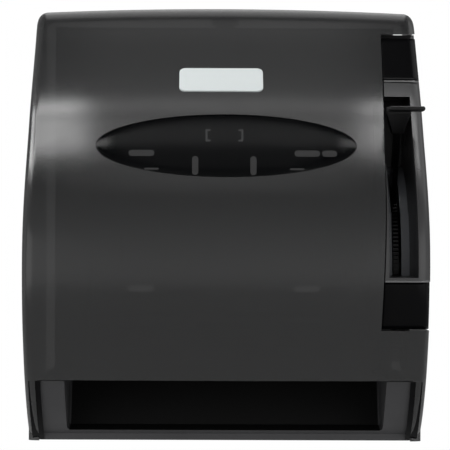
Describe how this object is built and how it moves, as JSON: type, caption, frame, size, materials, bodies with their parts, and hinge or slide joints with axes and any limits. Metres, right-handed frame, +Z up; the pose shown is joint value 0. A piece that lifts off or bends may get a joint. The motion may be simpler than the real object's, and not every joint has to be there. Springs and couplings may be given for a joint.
{
  "type": "paper towel dispenser",
  "caption": "Wall-mounted roll towel dispenser with a hinged smoke cover, oval window, side lever geared to a feed roller, and a wide exit chute",
  "frame": {"origin": "bottom centre of the back, on the wall plane", "axes": "+X to the right seen from the front, -Y out of the front, +Z up"},
  "size_m": [0.322, 0.2475, 0.364],
  "materials": {
    "smoke_cover": "smoke-grey translucent moulded plastic, semi-matte with soft highlights",
    "smoke_lens": "clear smoke window, polished",
    "badge": "pale blank plate",
    "panel_grey": "dark grey back panel, fine texture",
    "frame_grey": "grey moulded frame",
    "chute_grey": "charcoal moulded plastic, fine texture",
    "guide_cream": "pale moulded plastic",
    "housing_black": "glossy black and charcoal moulded plastic",
    "guard_grey": "charcoal slot guard",
    "lever_black": "black filled nylon lever",
    "bush_natural": "natural acetal",
    "steel": "bright plated steel",
    "rubber": "black ribbed rubber",
    "roller_grey": "pale roller plastic",
    "arm_grey": "grey roll arm",
    "hub_dark": "dark core hub"
  },
  "bodies": {
    "chassis": {"back_panel": "panel_grey", "left_side_frame": "frame_grey", "right_side_frame": "frame_grey", "lower_chute": "chute_grey", "feed_guide": "guide_cream", "lever_housing": "housing_black", "slot_guard": "guard_grey", "latch_keeper": "steel", "tear_bar": "steel", "hinge_pins": "steel", "frame_screws": "steel", "roller_bushes": "bush_natural", "nip_springs": "steel", "lever_pivot_pin": "steel", "return_spring": "steel", "arm_pins": "steel"},
    "cover": {"front_cover": "smoke_cover", "window_lens": "smoke_lens", "badge_plate": "badge"},
    "lock": {"lock_barrel": "steel", "lock_cam": "steel"},
    "lever": {"lever_arm": "lever_black", "lever_grip": "lever_black", "lever_bush": "bush_natural"},
    "pinion": {"drive_pinion": "bush_natural"},
    "feed_roller": {"clutch_hub": "steel", "feed_shaft": "roller_grey", "feed_sleeves": "rubber"},
    "press_roller": {"pressure_roller": "roller_grey"},
    "left_arm": {"left_roll_arm": "arm_grey"},
    "right_arm": {"right_roll_arm": "arm_grey"},
    "left_hub": {"left_core_hub": "hub_dark"},
    "right_hub": {"right_core_hub": "hub_dark"}
  },
  "joints": [
    {"name": "cover_hinge", "type": "hinge", "parent": "chassis", "child": "cover", "pos_m": [0, -0.06, 0.015], "axis": [1, 0, 0], "range_deg": [0, 95]},
    {"name": "lock_turn", "type": "hinge", "parent": "cover", "child": "lock", "pos_m": [0, -0.03, 0.357], "axis": [0, 0, 1], "range_deg": [0, 90]},
    {"name": "lever_swing", "type": "hinge", "parent": "chassis", "child": "lever", "pos_m": [0.14, -0.075, 0.14], "axis": [1, 0, 0], "range_deg": [0, 48], "stiffness_Nm_per_rad": 0.35, "springref_deg": -34.38},
    {"name": "pinion_spin", "type": "hinge", "parent": "chassis", "child": "pinion", "pos_m": [0.14, -0.14924, 0.0777], "axis": [1, 0, 0], "continuous": true},
    {"name": "feed_roller_spin", "type": "hinge", "parent": "chassis", "child": "feed_roller", "pos_m": [0, -0.14924, 0.0777], "axis": [1, 0, 0], "continuous": true},
    {"name": "pressure_roller_spin", "type": "hinge", "parent": "chassis", "child": "press_roller", "pos_m": [0, -0.17678, 0.06768], "axis": [1, 0, 0], "continuous": true},
    {"name": "left_arm_lift", "type": "hinge", "parent": "chassis", "child": "left_arm", "pos_m": [-0.1085, -0.028, 0.15], "axis": [1, 0, 0], "range_deg": [-38, 0]},
    {"name": "right_arm_lift", "type": "hinge", "parent": "chassis", "child": "right_arm", "pos_m": [0.1085, -0.028, 0.15], "axis": [1, 0, 0], "range_deg": [-38, 0]},
    {"name": "left_hub_spin", "type": "hinge", "parent": "left_arm", "child": "left_hub", "pos_m": [-0.1, -0.125, 0.158], "axis": [1, 0, 0], "continuous": true},
    {"name": "right_hub_spin", "type": "hinge", "parent": "right_arm", "child": "right_hub", "pos_m": [0.1, -0.125, 0.158], "axis": [1, 0, 0], "continuous": true}
  ],
  "couplings": [
    {"joint": "pinion_spin", "follows": "lever_swing", "ratio": -7},
    {"joint": "pressure_roller_spin", "follows": "feed_roller_spin", "ratio": -1.9}
  ]
}
